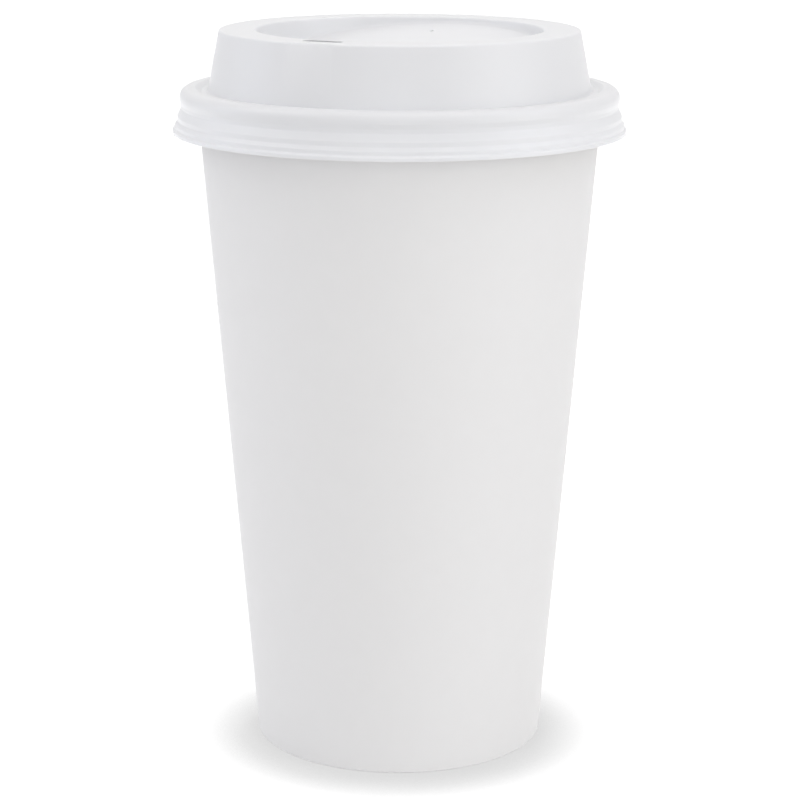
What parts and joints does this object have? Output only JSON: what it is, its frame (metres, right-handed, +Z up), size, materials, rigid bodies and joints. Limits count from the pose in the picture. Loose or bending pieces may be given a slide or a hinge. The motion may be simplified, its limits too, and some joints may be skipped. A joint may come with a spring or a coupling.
{
  "type": "lidded paper coffee cup",
  "caption": "Tall tapered paper hot cup with a rolled brim and recessed bottom, closed by a push-on domed travel lid with a sip hole that lifts off.",
  "frame": {"origin": "centre of the standing ring, on the surface that the cup stands on", "axes": "+Z up along the cup's axis, -Y towards the drinking side, +Y towards the side seam"},
  "size_m": [0.0944, 0.0944, 0.152],
  "materials": {
    "cup_board": "matte",
    "lid_polystyrene": "satin"
  },
  "bodies": {
    "cup": {"cup_sidewall": "cup_board", "cup_bottom": "cup_board"},
    "lid": {"lid": "lid_polystyrene"}
  },
  "joints": [
    {"name": "lid_lift", "type": "slide", "parent": "cup", "child": "lid", "axis": [0, 0, 1], "range_m": [0, 0.05]}
  ]
}
